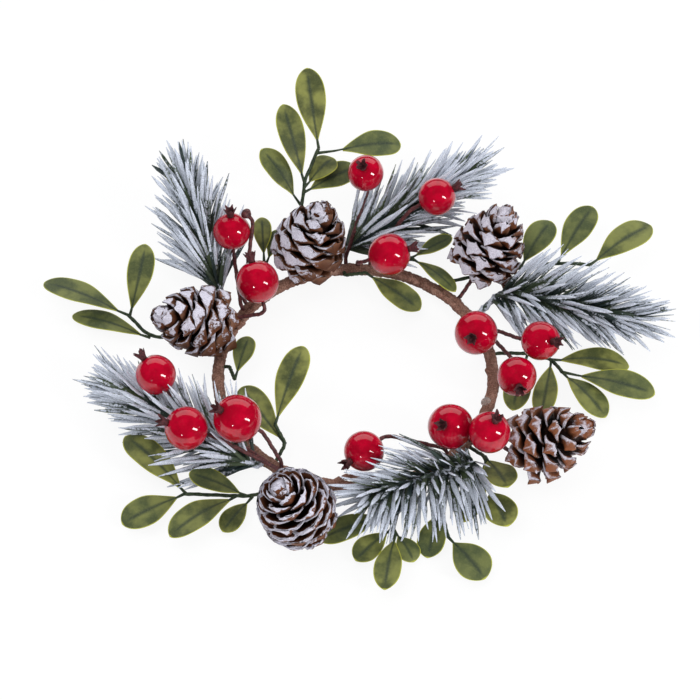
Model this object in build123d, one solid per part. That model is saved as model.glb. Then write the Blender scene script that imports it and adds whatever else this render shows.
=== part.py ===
# A small candle ring: a wire hoop bound in bark-coloured tape, with five picks of pine cones,
# red berries, flocked pine sprigs and leafy sprigs plugged into it. Millimetres, +Z up.
# The origin is the middle of the candle opening, on the table.
from build123d import *
import math
import os

os.makedirs("parts", exist_ok=True)

# Ring
ring_radius = 36.0            # to the middle of the bound hoop
wrap_thickness = 3.2          # across the flats of the tape binding
wrap_sides = 8
ring_sides = 32               # the ring is made of short straight lengths, like a bent twig
hoop_diameter = 1.0
hoop_sides = 5
hoop_clearance = 0.15
socket_depth = 0.7
socket_clearance = 0.12
seat_gap = 0.1                # between the end of a stem and the bottom of its hole
overrun = 1.0                 # how far a cutting tool runs past what it cuts

# Taped stem ends that lie along the inside of the ring, and beads of glue
pick_stem_diameter = 1.7
pick_stem_gap = 0.15          # between a taped stem end and the binding
pick_stem_sweep = 24.0        # degrees round the ring
pick_stem_tilt = 135.0        # round the binding: inwards and up
pick_stem_runs = 3
glue_diameter = 2.6
glue_angles = (105, -16)      # round the ring
glue_tilt = 120.0

# Nubs of twig under the tape
nub_roots = ((2, 150), (17, 130), (90, 120), (119, 150), (-138, 60), (-112, 150), (-68, 60), (-178, 60))
nub_diameter = 1.6
nub_height = 1.6
nub_sunk_share = 0.4          # of a nub's height, how much of it is under the tape
nub_sides = 5

# Stems and wires
wire_diameter = 1.1           # berry and cone wires
leaf_stem_diameter = 1.2
pine_stem_diameter = 1.8
stem_sides = 5
bend_steps = 2                # a bend is made of this many short chords
stem_rise = 1.4               # straight length of a stem above its socket
bend_share = 0.4              # of the shorter run, given to each bend
bore_clearance = 0.15
wire_lead = 3.0               # straight length of a wire in front of a berry or bud
petiole_sides = 4

# Berries
berry_diameter = 10.6
berry_gap = 0.35              # between two berries that stand against each other
ball_bands = 7                # a ball has this many flat bands from pole to pole
ball_sides = 10
bore_sides = 5
calyx_diameter = 2.0
calyx_height = 2.4
calyx_points = 5
calyx_seat_share = 0.75       # of the calyx's diameter, the flat that it sits on
calyx_foot_share = 0.9        # of that flat
calyx_waist_share = 0.5       # of the calyx's height
calyx_tip_share = 0.5         # of the calyx's diameter
bud_diameter = 2.6            # the dried bud on the third wire of the first pick

# Pine cones
cone_length = 21.0
cone_diameter = 19.5
cone_bore_depth = 4.0
cone_lead = 2.2               # straight length of a wire in front of a cone
cone_core_shares = ((0.2, 0.0), (0.36, 0.3), (0.2, 0.72), (0.0, 0.9))      # of half width, of length
cone_core_sides = 6
cone_foot_share = 0.3         # of the half wave that the tips of the scales follow
cone_tip_share = 0.96
cone_fullness_share = 0.62
scale_count = 28
scale_thickness = 0.8
scale_width = 8.2             # where the cone is widest
scale_tips_share = (0.09, 1.0)      # heights of the tips, of the cone's length, lowest and highest scale
scale_drops_share = (-0.06, 0.44)   # how far a scale's root lies below its tip, of the cone's length
scale_root_share = 0.16       # of the cone's half width, where the lowest scale starts
scale_foot_share = 0.4        # of the scale's width, its width at the root
scale_bend_share = 0.66       # of the way from root to tip, where the keel bends and the scale is widest
scale_bulge_share = 0.14      # of that way, how far the bend stands out from it
scale_wing_share = 0.34       # how far the wings fall back to the axis, of their width
cone_guard_shares = ((0.25, 1.0), (0.5, 1.0), (0.75, 0.85))   # balls round a cone: of length, of half width

# Pine sprigs
needle_length = 17.0
needle_width = 1.0
needle_thickness = 0.5
needles_on_sprig = 64
needle_foot_share = 0.3       # of the stem's diameter, how far from its axis a needle starts
needle_under_share = 0.4      # how far a sprig reaches below its stem, of its reach above
needle_clearance = 0.4
needle_floor = 0.8
needle_least = 4.0

# Leaves
leaf_length = 19.0
leaf_width = 8.0
leaf_thickness = 0.6
leaf_outline_shares = (          # of length, of half width
    (0.0, 0.1), (0.3, 0.72), (0.6, 1.0), (0.86, 0.78), (1.0, 0.28)
)
leaf_arch_shares = ((0.0, 0.0), (0.5, 0.07), (1.0, -0.01))                  # of length, along and up
petiole_length = 2.4
petiole_diameter = 1.0
petiole_grip_share = 0.15     # of the leaf's length, how far the petiole runs into the blade

golden_angle = 137.5

# A place is (angle in degrees, radius share, height share) of the ring's radius.
# A root is (angle round the ring, angle round the binding: 0 is outwards, 90 up, 180 inwards).

# Cones: place of the base, (heading, rise), size share, opening share, root
cone_shares = {
    "pine_cone_1": ((112, 1.03, 0.20), (24, 72), 1.04, 1.0, (113, 90)),
    "pine_cone_2": ((44, 1.26, 0.20), (38, 60), 1.02, 0.8, (43, 20)),
    "pine_cone_3": ((162, 1.02, 0.26), (196, 27), 1.02, 1.05, (161, 80)),
    "pine_cone_4": ((-104, 1.42, 0.17), (199, 68), 1.03, 1.0, (-101, 15)),
    "pine_cone_5": ((-34, 1.43, 0.20), (0, 35), 1.04, 1.1, (-31, 15)),
}

# Berries: pick, place, (heading, rise) of the calyx, diameter share, root. A berry that stands
# against another one has, as its place, that one's name and the heading and rise from its middle.
berry_shares = {
    "berry_1a": (1, (132, 1.36, 0.47), (100, 72), 0.93, (145, 70)),
    "berry_1b": (1, (139, 0.95, 0.36), (112, 46), 1.07, (152, 90)),
    "berry_2a": (2, (87, 1.45, 0.62), (-113, 66), 0.91, (94, 45)),
    "berry_2b": (2, (65, 1.43, 0.53), (16, 22), 0.95, (84, 45)),
    "berry_2c": (2, (74, 0.90, 0.38), (7, 16), 1.06, (89, 90)),
    "berry_3a": (3, (8.5, 0.88, 0.38), (-105, 39), 1.07, (27, 90)),
    "berry_3b": (3, (0.5, 1.33, 0.44), (-42, 37), 0.96, (22, 45)),
    "berry_3c": (3, (-11.5, 1.18, 0.34), (-86, 21), 0.97, (18, 70)),
    "berry_4a": (4, (-86, 0.85, 0.27), (-135, 6), 0.97, (-48, 125)),
    "berry_4b": (4, (-48, 1.00, 0.42), (-122, 52), 1.1, (-43, 90)),
    "berry_4c": (4, ("berry_4b", -26, 20), (-12, 76), 1.0, (-37, 60)),
    "berry_5a": (5, (-167, 1.46, 0.48), (137, 37), 0.98, (-123, 55)),
    "berry_5b": (5, (-146.5, 1.43, 0.46), (-179, 28), 1.05, (-119, 55)),
    "berry_5c": (5, (-138, 1.12, 0.52), (-170, 47), 1.16, (-122, 95)),
}

# The wire with a dried bud: pick, place, (heading, rise) of its end, root
bare_wire_shares = (1, (127, 1.33, 0.61), (160, 50), (141, 35))

# Pine sprigs: root, place where the needles start, place of the end, length share, and degrees
# between a needle and its stem, lowest and highest needle
pine_shares = {
    "pine_sprig_1": ((149, 8), (142, 1.31, 0.16), (131, 1.91, 0.50), 1.05, (48, 12)),
    "pine_sprig_2": ((98, 5), (90, 1.21, 0.12), (64, 1.83, 0.36), 1.1, (42, 12)),
    "pine_sprig_3": ((32, 10), (33, 1.30, 0.16), (9, 2.04, 0.31), 1.0, (48, 12)),
    "pine_sprig_4": ((-44, 10), (-46, 1.20, 0.14), (-85, 1.22, 0.27), 0.95, (105, 20)),
    "pine_sprig_5": ((-130, 15), (-134, 1.16, 0.14), (-171, 1.68, 0.24), 1.1, (38, 10)),
}

# Leaf sprigs: root, places of the stem's points, and leaves as
# (where along those points, (heading, rise, roll), length share, width share, petiole share)
leaf_shares = {
    "leaf_sprig_back": (
        (106, 5),
        ((106, 1.51, 0.14), (105, 1.51, 0.33), (104, 1.57, 0.44), (99, 1.75, 0.58)),
        (
            (4.0, (102, 34, 0), 1.03, 1.01, 1),
            (2.95, (112, 34, 0), 1.02, 0.93, 1),
            (1.5, (137, 38, 0), 0.79, 0.90, 1.6),
            (2.6, (48, 12, 0), 0.50, 0.93, 1),
            (3.85, (12, -3, 20), 0.84, 1.02, 3),
            (2.3, (32, 3, 10), 0.75, 0.90, 1),
        ),
    ),
    "leaf_sprig_left": (
        (156, 5),
        ((163, 1.16, 0.09), (169, 1.53, 0.12), (165, 1.72, 0.19)),
        (
            (3.0, (150, -4, -5), 1.20, 0.95, 1.5),
            (2.95, (76, 21, 0), 0.95, 0.88, 1),
            (2.0, (156, -5, 0), 1.06, 0.82, 1.2),
        ),
    ),
    "leaf_sprig_front_left": (
        (-116, 0),
        ((-123, 1.32, 0.08), (-138, 1.63, 0.09)),
        (
            (2.0, (-149, -1, -10), 0.82, 1.05, 1),
            (1.25, (-141, 5, 0), 1.01, 1.02, 1),
            (1.02, (-128, -9, 0), 0.52, 0.75, 1),
            (1.97, (133, 8, 0), 1.08, 1.02, 1),
            (1.08, (163, 12, 0), 0.73, 0.80, 1),
        ),
    ),
    "leaf_sprig_front": (
        (-80, 0),
        ((-80, 1.22, 0.08), (-79, 1.46, 0.08)),
        (
            (2.0, (-100, 6, 0), 0.84, 0.88, 1),
            (1.75, (-135, -2, 0), 0.59, 0.88, 1),
            (1.8, (-60, -7, 0), 0.43, 0.80, 1),
            (1.2, (-152, -1, 0), 0.89, 0.88, 1),
        ),
    ),
    "leaf_sprig_front_right": (
        (-61, 0),
        ((-62, 1.23, 0.08), (-66, 1.59, 0.08)),
        (
            (2.0, (-53, -1, 0), 0.69, 1.18, 1),
            (1.3, (-103, -7, 0), 0.66, 0.90, 1),
        ),
    ),
    "leaf_sprig_front_corner": (
        (-38, -10),
        ((-39, 1.19, 0.07), (-47, 1.38, 0.07)),
        (
            (2.0, (-74, 9, 0), 0.66, 1.07, 1),
            (1.2, (-109, -4, 0), 0.86, 0.90, 1),
            (1.0, (-69, 20, 0), 0.68, 1.05, 1),
        ),
    ),
    "leaf_sprig_right": (
        (11, 0),
        ((8, 1.27, 0.08), (4, 1.43, 0.11), (-1, 1.50, 0.12)),
        (
            (3.0, (-18, 3, 12), 1.04, 1.00, 2.2),
            (2.95, (-50, -9, 0), 0.78, 0.97, 1),
            (2.0, (-99, -5, 0), 0.81, 0.80, 1),
            (1.0, (-105, -3, 0), 0.85, 0.90, 1),
            (2.05, (0, -3, 0), 0.94, 0.95, 1),
        ),
    ),
    "leaf_sprig_back_right": (
        (53, 5),
        ((40, 1.51, 0.08), (33, 1.79, 0.15), (28, 1.97, 0.19)),
        (
            (3.0, (37, 6, 0), 0.96, 1.07, 1),
            (2.0, (57, 21, 0), 0.84, 1.00, 1),
            (1.2, (57, 21, 0), 0.69, 0.97, 1),
        ),
    ),
    "leaf_inner_front_left": (
        (-126, 150),
        ((-126, 0.85, 0.14), (-136, 0.80, 0.19)),
        (
            (2.0, (71, 22, 0), 1.04, 0.95, 1),
            (1.0, (127, 2, 0), 0.96, 0.99, 1.2),
        ),
    ),
    "leaf_inner_left": (
        (176, 160),
        ((-174, 0.88, 0.12),),
        (
            (1.0, (72, 17, 0), 0.53, 0.72, 1),
        ),
    ),
    "leaf_inner_back": (
        (95, 160),
        ((85, 0.90, 0.13),),
        (
            (1.0, (-40, -5, 0), 0.84, 0.95, 1),
        ),
    ),
    "leaf_inner_back_left": (
        (127, 60),
        ((126, 1.15, 0.22),),
        (
            (1.0, (93, 19, 0), 0.54, 0.62, 1),
            (0.8, (68, 15, 0), 0.46, 0.55, 1),
        ),
    ),
    "leaf_inner_back_right": (
        (71, 45),
        ((68, 1.10, 0.16),),
        (
            (1.0, (-42, -1, 0), 0.74, 0.60, 1),
            (0.7, (20, 17, 0), 0.57, 0.57, 1),
        ),
    ),
}

# Taped stem ends: where each starts round the ring
pick_stem_starts = {1: 132, 2: 60, 3: 30, 4: -96, 5: -166}


def pointing(heading, rise):
    """The unit vector at a compass heading and a rise above the table, in degrees."""
    across = math.cos(math.radians(rise))
    turn = math.radians(heading)
    return Vector(across * math.cos(turn), across * math.sin(turn), math.sin(math.radians(rise)))


def on_ring(place):
    """The point at an angle, a radius and a height given as shares of the ring's radius."""
    angle, radius_share, height_share = place
    return pointing(angle, 0) * (ring_radius * radius_share) + Vector(0, 0, ring_radius * height_share)


def root_plane(root):
    """A plane on the middle of the binding whose normal leaves the ring at the root's two angles."""
    angle, tilt = root
    outwards = pointing(angle, 0)
    normal = outwards * math.cos(math.radians(tilt)) + Vector(0, 0, 1) * math.sin(math.radians(tilt))
    return Plane(origin=outwards * ring_radius + Vector(0, 0, wrap_thickness / 2), z_dir=normal)


def frame_along(origin, direction, roll=0.0):
    """A plane with its x along a direction and its normal as near to upwards as it can be."""
    sideways = Vector(0, 0, 1).cross(direction).normalized()
    plane = Plane(origin=origin, x_dir=direction, z_dir=direction.cross(sideways))
    return Plane(plane.location * Rot(roll, 0, 0))


def flat_face(*corners):
    return Face(Wire.make_polygon(corners, close=True))


def turned(profile, sides, closed=False):
    """A shape with flat sides, from (radius, height) points carried round the Z axis."""
    ends = list(zip(profile, profile[1:] + profile[:1] if closed else profile[1:]))
    turns = [2 * math.pi * side / sides for side in range(sides)]
    faces = []
    for here, after in zip(turns, turns[1:] + turns[:1]):
        for (low_radius, low), (high_radius, high) in ends:
            corners = [Vector(low_radius * math.cos(here), low_radius * math.sin(here), low)]
            if high_radius > 0:
                corners.append(Vector(high_radius * math.cos(here), high_radius * math.sin(here), high))
            corners.append(Vector(high_radius * math.cos(after), high_radius * math.sin(after), high))
            if low_radius > 0:
                corners.append(Vector(low_radius * math.cos(after), low_radius * math.sin(after), low))
            faces.append(flat_face(*corners))
    return Solid(Shell(faces))


def hoop_shape(across_flats, sides):
    """A closed ring whose section is a regular polygon with a flat underneath."""
    reach = across_flats / 2 / math.cos(math.pi / sides)
    turns = [2 * math.pi * side / sides - math.pi / 2 + math.pi / sides for side in range(sides)]
    profile = [(ring_radius + reach * math.cos(turn), wrap_thickness / 2 + reach * math.sin(turn)) for turn in turns]
    return turned(profile, ring_sides, closed=True)


def eased(points):
    """Runs with each corner swapped for short chords of a bend."""
    path = [points[0]]
    for before, corner, after in zip(points, points[1:], points[2:]):
        first = before - corner
        second = after - corner
        cut = bend_share * min(first.length, second.length)
        start = corner + first.normalized() * cut
        end = corner + second.normalized() * cut
        for step in range(bend_steps + 1):
            share = step / bend_steps
            path.append(start * (1 - share)**2 + corner * (2 * share * (1 - share)) + end * share**2)
    return path + [points[-1]]


def stem(points, diameter, sides=stem_sides):
    """A stem of even thickness along runs joined by bends."""
    section = Plane(origin=points[0], z_dir=points[1] - points[0]) * RegularPolygon(diameter / 2, sides)
    return sweep(section, path=Polyline(*eased(points)), transition=Transition.RIGHT)


def root_points(root):
    """Where a stem starts in its socket, and the end of its straight length above the ring."""
    plane = root_plane(root)
    inner = wrap_thickness / 2 - socket_depth + seat_gap
    outer = wrap_thickness / 2 + stem_rise
    return [plane.origin + plane.z_dir * inner, plane.origin + plane.z_dir * outer]


def bore(diameter, clearance, depth):
    """A flat-sided hole, open at its own origin, that clears a stem whichever way it is turned."""
    section = RegularPolygon(diameter / 2 + clearance, bore_sides, major_radius=False)
    return Pos(0, 0, -overrun) * extrude(section, depth + overrun)


def socket(root, diameter):
    """The hole in the binding that a stem stands in, cut from outside."""
    plane = root_plane(root)
    mouth = plane.origin + plane.z_dir * (wrap_thickness / 2)
    return Plane(origin=mouth, z_dir=-plane.z_dir) * bore(diameter, socket_clearance, socket_depth)


def ball_shape(diameter):
    turns = [math.pi * band / ball_bands for band in range(ball_bands + 1)]
    profile = [(math.sin(turn) * diameter / 2, -math.cos(turn) * diameter / 2) for turn in turns]
    profile[0] = (0, -diameter / 2)
    profile[-1] = (0, diameter / 2)
    return turned(profile, ball_sides)


def berry_parts(diameter):
    """A ball with a bore for its wire and a flat for its calyx, and the calyx on that flat."""
    seat_radius = calyx_diameter * calyx_seat_share / 2
    seat = math.sqrt((diameter / 2)**2 - seat_radius**2) * math.cos(math.pi / ball_bands / 2)
    ball = ball_shape(diameter)
    ball -= Pos(0, 0, seat + diameter / 2) * Box(diameter, diameter, diameter)
    ball -= Pos(0, 0, -diameter / 2) * bore(wire_diameter, bore_clearance, diameter / 2)
    crown = turned([
        (0, seat),
        (seat_radius * calyx_foot_share, seat),
        (calyx_diameter / 2, seat + calyx_height * calyx_waist_share),
        (calyx_diameter / 2 * calyx_tip_share, seat + calyx_height),
        (0, seat + calyx_height),
    ], calyx_points)
    return ball, crown


def scale_blank(root, tip, half):
    """A woody scale of even thickness: two wings that fall back from a keel, which bends near its tip."""
    run = tip - root
    out = Vector(run.Z, 0, -run.X)
    bend = root + run * scale_bend_share + out * scale_bulge_share
    wings = []
    for side in (1, -1):
        across = Vector(-scale_wing_share, side, 0) * half
        wings.append((root + across * scale_foot_share, bend + across))
    (left_foot, left), (right_foot, right) = wings
    outside = [(root, bend, left, left_foot), (bend, tip, left), (right_foot, right, bend, root), (right, tip, bend)]
    rim = [root, left_foot, left, tip, right, right_foot]
    shift = out.normalized() * -scale_thickness
    faces = [flat_face(*corners) for corners in outside]
    faces += [flat_face(*[corner + shift for corner in reversed(corners)]) for corners in outside]
    faces += [flat_face(one, other, other + shift, one + shift) for one, other in zip(rim, rim[1:] + rim[:1])]
    return Solid(Shell(faces))


def cone_side(share):
    """How wide the cone is at a share of its scales: full low down, drawn in at the tip."""
    wave = math.sin(math.pi * (cone_foot_share + (cone_tip_share - cone_foot_share) * share))
    return wave**cone_fullness_share


def between(ends, share):
    return ends[0] + (ends[1] - ends[0]) * share


def pine_cone(size, opening):
    """A core with scales round it on a golden angle spiral, each more upright than the last."""
    profile = [(0, 0)] + [(cone_diameter / 2 * x, cone_length * z) for x, z in cone_core_shares]
    core = turned(profile, cone_core_sides)
    scales = []
    for count in range(scale_count):
        share = count / (scale_count - 1)
        height = cone_length * between(scale_tips_share, share)
        foot = height - cone_length * between(scale_drops_share, share**opening)
        root = Vector(cone_diameter / 2 * scale_root_share * (1 - share), 0, foot)
        tip = Vector(cone_diameter / 2 * cone_side(share), 0, height)
        scales.append(Rot(0, 0, golden_angle * count) * scale_blank(root, tip, scale_width / 2 * cone_side(share)))
    cone = scale(core.fuse(*scales), by=size)
    return cone - bore(wire_diameter, bore_clearance, cone_bore_depth)


def leaf_parts(base, heading, rise, roll, length, half, stalk):
    """A petiole and an arched, thin blade that is widest past its middle, with a blunt end."""
    direction = pointing(heading, rise)
    foot = frame_along(base + direction * stalk, direction, roll)
    side = [(x * length, y * half) for x, y in leaf_outline_shares]
    outline = side + [(x, -y) for x, y in reversed(side)]
    arch = [(x * length, y * length) for x, y in leaf_arch_shares]
    band = arch + [(x, y - leaf_thickness) for x, y in reversed(arch)]
    strip = Plane.XZ * make_face(Polyline(*band, close=True))
    blank = Pos(0, 0, -length / 2) * extrude(make_face(Polyline(*outline, close=True)), length)
    blade = blank & extrude(strip, half + overrun, both=True)
    petiole = stem([base, base + direction * (stalk + length * petiole_grip_share)], petiole_diameter, petiole_sides)
    return foot * Pos(0, 0, leaf_thickness / 2) * blade, petiole, foot


def needle(start, direction, across, length):
    """A flat three-sided needle that runs from a wide foot to a point."""
    lift = direction.cross(across)
    foot = [start - across * (needle_width / 2), start + across * (needle_width / 2), start + lift * needle_thickness]
    tip = start + direction * length
    sides = [flat_face(one, other, tip) for one, other in zip(foot, foot[1:] + foot[:1])]
    return Solid(Shell(sides + [flat_face(*foot)]))


# Where everything that a needle could meet lies: balls as (middle, radius), and bars as
# (plane with x along the bar, length, half width, half height)
balls_met = []
bars_met = []


def meet_stem(points, diameter):
    for first, second in zip(points, points[1:]):
        run = second - first
        bars_met.append((frame_along(first, run.normalized()), run.length, diameter / 2, diameter / 2))


def run_to_ball(start, direction, middle, radius):
    """How far along a line it enters a ball, or no limit."""
    nearest = (middle - start).dot(direction)
    off = (middle - start - direction * nearest).length
    if off >= radius or nearest + math.sqrt(radius**2 - off**2) <= 0:
        return math.inf
    return nearest - math.sqrt(radius**2 - off**2)


def run_to_bar(start, direction, bar, margin):
    """How far along a line it enters a bar that is widened by a margin, or no limit."""
    plane, length, half_width, half_height = bar
    local = plane.to_local_coords(start)
    ahead = plane.to_local_coords(start + direction) - local
    lows = (-margin, -half_width - margin, -half_height - margin)
    highs = (length + margin, half_width + margin, half_height + margin)
    enters = -math.inf
    leaves = math.inf
    for at, step, low, high in zip(local, ahead, lows, highs):
        if step == 0:
            step = math.ulp(1)
        crossings = sorted(((low - at) / step, (high - at) / step))
        enters = max(enters, crossings[0])
        leaves = min(leaves, crossings[1])
    return enters if enters < leaves and leaves > 0 else math.inf


def free_run(start, direction, wanted):
    """How far a needle can run before it meets a ball, a bar or the table."""
    margin = needle_clearance + needle_width / 2
    limits = [wanted]
    if direction.Z < 0:
        limits.append((start.Z - needle_floor) / -direction.Z)
    limits += [run_to_ball(start, direction, middle, radius + margin) for middle, radius in balls_met]
    limits += [run_to_bar(start, direction, bar, margin) for bar in bars_met]
    return min(limits)


# Leaf sprigs
sockets = []
leaf_sprigs = {}
for name, (root, places, leaves) in leaf_shares.items():
    points = root_points(root) + [on_ring(place) for place in places]
    pieces = [stem(points, leaf_stem_diameter)]
    meet_stem(eased(points)[1:], leaf_stem_diameter)
    for along, way, length_share, width_share, petiole_share in leaves:
        step = min(int(along), len(places) - 1)
        base = between(points[step + 1:], along - step)
        length = leaf_length * length_share
        half = leaf_width * width_share / 2
        blade, petiole, foot = leaf_parts(base, *way, length, half, petiole_length * petiole_share)
        pieces += [blade, petiole]
        bars_met.append((foot, length, half, leaf_thickness + length * leaf_arch_shares[1][1]))
    leaf_sprigs[name] = pieces[0].fuse(*pieces[1:])
    sockets.append(socket(root, leaf_stem_diameter))

# Berries with their wires
wires = {pick: [] for pick in pick_stem_starts}
calyxes = {pick: [] for pick in pick_stem_starts}
berries = {}
berry_balls = {}
for name, (pick, place, way, share, root) in berry_shares.items():
    direction = pointing(*way)
    diameter = berry_diameter * share
    if place[0] in berry_balls:
        other_middle, other_diameter = berry_balls[place[0]]
        middle = other_middle + pointing(*place[1:]) * ((diameter + other_diameter) / 2 + berry_gap)
    else:
        middle = on_ring(place)
    berry_balls[name] = (middle, diameter)
    ball, crown = berry_parts(diameter)
    plane = Plane(origin=middle, z_dir=direction)
    berries[name] = plane * ball
    calyxes[pick].append(plane * crown)
    lead = middle - direction * (diameter / 2 + wire_lead)
    points = root_points(root) + [lead, middle - direction * seat_gap]
    wires[pick].append(stem(points, wire_diameter))
    sockets.append(socket(root, wire_diameter))
    meet_stem(eased(points)[1:], wire_diameter)
    balls_met.append((middle, diameter / 2))
    balls_met.append((middle + direction * (diameter / 2), calyx_height))

pick, place, (heading, rise), root = bare_wire_shares
tip = on_ring(place)
points = root_points(root) + [tip - pointing(heading, rise) * wire_lead, tip]
bud = Pos(*tip) * ball_shape(bud_diameter)
wires[pick].append(stem(points, wire_diameter) + bud)
sockets.append(socket(root, wire_diameter))
meet_stem(eased(points)[1:], wire_diameter)

# Pine cones with their wires
cones = {}
cone_wires = {}
for name, (place, (heading, rise), size, opening, root) in cone_shares.items():
    foot = on_ring(place)
    direction = pointing(heading, rise)
    cones[name] = Plane(origin=foot, z_dir=direction) * pine_cone(size, opening)
    end = foot + direction * (cone_bore_depth - seat_gap)
    points = root_points(root) + [foot - direction * cone_lead, end]
    cone_wires[name.replace("cone", "cone_wire")] = stem(points, wire_diameter)
    sockets.append(socket(root, wire_diameter))
    for along, girth in cone_guard_shares:
        balls_met.append((foot + direction * (cone_length * size * along), cone_diameter / 2 * size * girth))

# The ring: tape bound round a wire hoop, with a socket for every stem
ring_corners = [on_ring((360 * side / ring_sides, 1, 0)) for side in range(ring_sides + 1)]
meet_stem([corner + Vector(0, 0, wrap_thickness / 2) for corner in ring_corners], wrap_thickness)

# Pine sprigs
pine_sprigs = {}
for name, (root, low, high, length_share, spreads) in pine_shares.items():
    points = root_points(root) + [on_ring(low), on_ring(high)]
    axis = (points[-1] - points[-2]).normalized()
    first = bend_share * min((points[-1] - points[-2]).length, (points[-2] - points[-3]).length)
    run = (points[-1] - points[-2]).length - first
    sideways = Vector(0, 0, 1).cross(axis).normalized()
    above = axis.cross(sideways)
    needles = []
    for count in range(needles_on_sprig):
        share = (count + 0.5) / needles_on_sprig
        turn = math.radians(golden_angle * count)
        lift = math.sin(turn) * (1 if math.sin(turn) > 0 else needle_under_share)
        radial = (sideways * math.cos(turn) + above * lift).normalized()
        spread = math.radians(between(spreads, share))
        direction = axis * math.cos(spread) + radial * math.sin(spread)
        start = points[-2] + axis * (first + run * share) + radial * (pine_stem_diameter * needle_foot_share)
        length = free_run(start, direction, needle_length * length_share)
        if length >= needle_least:
            needles.append(needle(start, direction, radial.cross(axis), length))
    pine_sprigs[name] = stem(points, pine_stem_diameter).fuse(*needles)
    sockets.append(socket(root, pine_stem_diameter))
    print(name, len(needles), "needles")

blank = hoop_shape(wrap_thickness, wrap_sides)
nubs = []
for root in nub_roots:
    seat = wrap_thickness / 2 - nub_height * nub_sunk_share
    nub = turned([
        (0, seat),
        (nub_diameter / 2, seat),
        (nub_diameter / 4, seat + nub_height),
        (0, seat + nub_height),
    ], nub_sides)
    nubs.append(root_plane(root) * nub)
hoop = hoop_shape(hoop_diameter, hoop_sides)
channel = hoop_shape(hoop_diameter + 2 * hoop_clearance, hoop_sides)
binding = blank.fuse(*nubs).cut(channel, *sockets)

glue = []
for angle in glue_angles:
    bead = root_plane((angle, glue_tilt)) * Pos(0, 0, wrap_thickness / 2) * ball_shape(glue_diameter)
    glue.append(bead - blank)

pick_stems = {}
reach = wrap_thickness / 2 + pick_stem_gap + pick_stem_diameter / 2
for pick, start in pick_stem_starts.items():
    angles = [start + pick_stem_sweep * run / pick_stem_runs for run in range(pick_stem_runs + 1)]
    planes = [root_plane((angle, pick_stem_tilt)) for angle in angles]
    pick_stems[f"pick_stem_{pick}"] = stem([plane.origin + plane.z_dir * reach for plane in planes], pick_stem_diameter)

nodes = {"hoop_wire": hoop, "ring_binding": binding, "glue_beads": Compound(glue)}
nodes |= berries | cones | cone_wires | pine_sprigs | leaf_sprigs | pick_stems
for pick in wires:
    nodes[f"berry_wires_{pick}"] = Compound(wires[pick])
    nodes[f"berry_calyxes_{pick}"] = Compound(calyxes[pick])

for name, shape in nodes.items():
    export_step(shape, f"parts/{name}.step")
print(len(nodes), "nodes")
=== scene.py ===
import bpy
import numpy as np
from mathutils import Matrix
from numpy import cos, exp, linspace, pi, radians, sin


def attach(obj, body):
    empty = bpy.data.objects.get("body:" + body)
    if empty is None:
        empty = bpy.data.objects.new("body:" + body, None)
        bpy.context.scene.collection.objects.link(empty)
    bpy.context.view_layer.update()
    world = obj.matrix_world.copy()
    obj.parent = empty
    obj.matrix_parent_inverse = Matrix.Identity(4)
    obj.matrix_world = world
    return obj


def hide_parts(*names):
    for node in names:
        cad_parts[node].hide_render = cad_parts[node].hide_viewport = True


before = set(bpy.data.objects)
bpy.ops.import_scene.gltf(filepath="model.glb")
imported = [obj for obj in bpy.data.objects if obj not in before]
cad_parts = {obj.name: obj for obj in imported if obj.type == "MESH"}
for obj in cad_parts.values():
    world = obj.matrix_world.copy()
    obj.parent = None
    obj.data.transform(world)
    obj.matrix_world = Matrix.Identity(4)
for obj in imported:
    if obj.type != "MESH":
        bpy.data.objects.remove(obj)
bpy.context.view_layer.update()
print("frame loaded:", len(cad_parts), "nodes")

mm = 0.001
ringRadius = 36 * mm
bindingThickness = 3.2 * mm
socketDepth = 0.7 * mm
stemRise = 1.4 * mm
wireLead = 3 * mm
coneLead = 2.2 * mm
goldenAngle = 137.5
# random numbers start from these, plus a piece's own number
seeds = {
    "tape": 11, "berry": 0, "calyx": 40, "bareWire": 77, "cone": 100, "coneWire": 200,
    "pineStem": 300, "needles": 310, "leafStem": 500, "leaf": 600,
}


# Directions and places

def unit(vectors):
    return vectors / np.maximum(np.linalg.norm(vectors, axis=-1, keepdims=True), 1e-12)


# the unit vector at a compass heading and a rise above the table, in degrees
def pointing(heading, rise):
    heading, rise = np.broadcast_arrays(radians(heading), radians(rise))
    return np.stack([cos(rise) * cos(heading), cos(rise) * sin(heading), sin(rise)], -1)


# a place is (angle, radius share, height share) of the ring's radius
def onRing(place):
    angle, radiusShare, heightShare = place
    return pointing(angle, 0) * ringRadius * radiusShare + np.array([0, 0, ringRadius * heightShare])


# a root is (angle round the ring, angle round the binding, 90 upwards): its middle and its way out
def rootLine(root):
    angle, tilt = root
    outwards = pointing(angle, 0)
    middle = outwards * ringRadius + np.array([0, 0, bindingThickness / 2])
    tilt = radians(tilt)
    return middle, outwards * cos(tilt) + np.array([0, 0, sin(tilt)])


# where a stem starts inside the binding, and the end of its straight length above it
def rootPoints(root):
    middle, out = rootLine(root)
    return [middle + out * (bindingThickness / 2 + height) for height in (-socketDepth, stemRise)]


# three axes with x along a direction and z as near to upwards as it can be, turned about x by roll
def axesAlong(direction, roll=0.0):
    along = unit(direction)
    side = unit(np.cross([0.0, 0.0, 1.0], along))
    up = np.cross(along, side)
    turn = radians(roll)
    return along, side * cos(turn) + up * sin(turn), up * cos(turn) - side * sin(turn)


# from 0 below the first edge to 1 above the second, with a soft start and end
def smoothStep(low, high, values):
    share = np.clip((values - low) / (high - low), 0, 1)
    return share * share * (3 - 2 * share)


# evenly spaced angles all the way round
def roundTurn(around):
    return linspace(0, 2 * pi, around, endpoint=False)


# where repeated waves start: random angles within a full turn
def phases(seed, count):
    return np.random.default_rng(seed).uniform(0, 2 * pi, count)


# Shapes: each is a dictionary of points, faces and per-point looks, and several are joined into one mesh

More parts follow.
